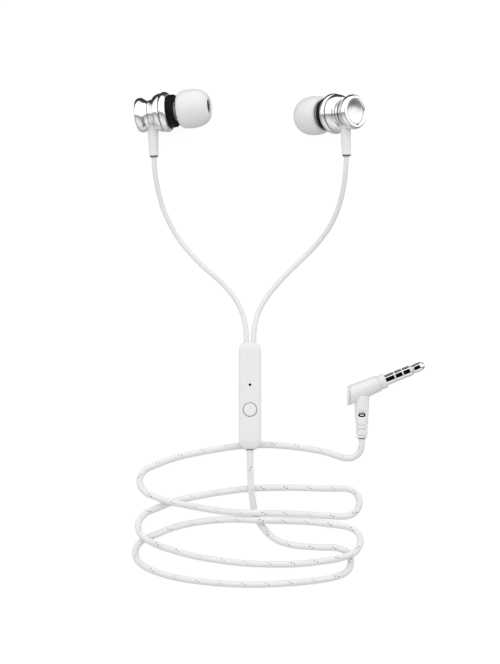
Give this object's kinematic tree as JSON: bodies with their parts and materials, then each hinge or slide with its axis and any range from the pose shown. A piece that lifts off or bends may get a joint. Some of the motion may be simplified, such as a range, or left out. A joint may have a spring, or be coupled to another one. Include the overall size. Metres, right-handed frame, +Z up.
{
  "type": "wired earphones",
  "caption": "Wired in-ear earphones with metal housings, silicone tips, an inline push-button remote and a right-angle jack plug on a braided cord.",
  "frame": {"origin": "on the surface that the earphones lie on, under the middle of the two earbuds' box", "axes": "+X from the left bud to the right bud, +Y away from the cord, +Z up from the surface"},
  "size_m": [0.0974, 0.1662, 0.0236],
  "materials": {
    "aluminium": "polished bright aluminium",
    "brushed": "spun brushed disc",
    "chrome": "mirror chrome plate",
    "steel": "plain steel",
    "magnet": "nickel-plated magnet",
    "brass": "bare brass",
    "copper": "enamelled copper winding",
    "black": "satin black plastic",
    "grey": "satin dark grey plastic",
    "silicone": "soft white silicone",
    "soft": "soft white elastomer",
    "gloss": "smooth white plastic",
    "insulator": "white plastic insulator",
    "braid": "white braid with small grey flecks",
    "film": "thin plastic film",
    "board": "green circuit board"
  },
  "bodies": {
    "earphones": {"left_cap_disc": "brushed", "left_rear_cap": "aluminium", "left_rear_housing": "aluminium", "left_front_ring": "aluminium", "left_front_baffle": "black", "left_nozzle": "chrome", "left_nozzle_screen": "steel", "left_yoke": "steel", "left_magnet": "magnet", "left_pole_plate": "steel", "left_driver_frame": "grey", "left_stem": "soft", "left_stem_ring": "grey", "left_wire": "soft", "right_cap_disc": "brushed", "right_rear_cap": "aluminium", "right_rear_housing": "aluminium", "right_front_ring": "aluminium", "right_front_baffle": "black", "right_nozzle": "chrome", "right_nozzle_screen": "steel", "right_yoke": "steel", "right_magnet": "magnet", "right_pole_plate": "steel", "right_driver_frame": "grey", "right_stem": "soft", "right_stem_ring": "grey", "right_wire": "soft", "remote_back_shell": "gloss", "remote_front_shell": "gloss", "remote_circuit_board": "board", "remote_microphone": "steel", "remote_switch_case": "black", "remote_top_bush": "soft", "remote_bottom_bush": "grey", "main_cable": "braid", "plug_barrel": "gloss", "plug_end_cap": "gloss", "plug_arm": "soft", "plug_arm_inlay": "soft", "plug_collar": "gloss", "plug_sleeve": "chrome", "plug_ring_1": "chrome", "plug_ring_2": "chrome", "plug_tip": "chrome", "plug_insulator_1": "insulator", "plug_insulator_2": "insulator", "plug_insulator_3": "insulator", "plug_core": "brass"},
    "remote_button": {"remote_button_cap": "gloss", "remote_switch_plunger": "grey"},
    "left_tip": {"left_ear_tip": "silicone"},
    "left_driver": {"left_diaphragm": "film", "left_voice_coil": "copper"},
    "right_tip": {"right_ear_tip": "silicone"},
    "right_driver": {"right_diaphragm": "film", "right_voice_coil": "copper"}
  },
  "joints": [
    {"name": "remote_button_press", "type": "slide", "parent": "earphones", "child": "remote_button", "axis": [0, -0.075, -0.9972], "range_m": [0, 0.0003], "stiffness_N_per_m": 5000},
    {"name": "left_tip_pull", "type": "slide", "parent": "earphones", "child": "left_tip", "axis": [0.9587, 0.1177, 0.2588], "range_m": [0, 0.0044]},
    {"name": "left_driver_travel", "type": "slide", "parent": "earphones", "child": "left_driver", "axis": [0.9587, 0.1177, 0.2588], "range_m": [-0.0002, 0.0002], "stiffness_N_per_m": 70},
    {"name": "right_tip_pull", "type": "slide", "parent": "earphones", "child": "right_tip", "axis": [-0.7296, -0.051, -0.682], "range_m": [0, 0.0044]},
    {"name": "right_driver_travel", "type": "slide", "parent": "earphones", "child": "right_driver", "axis": [-0.7296, -0.051, -0.682], "range_m": [-0.0002, 0.0002], "stiffness_N_per_m": 70}
  ]
}
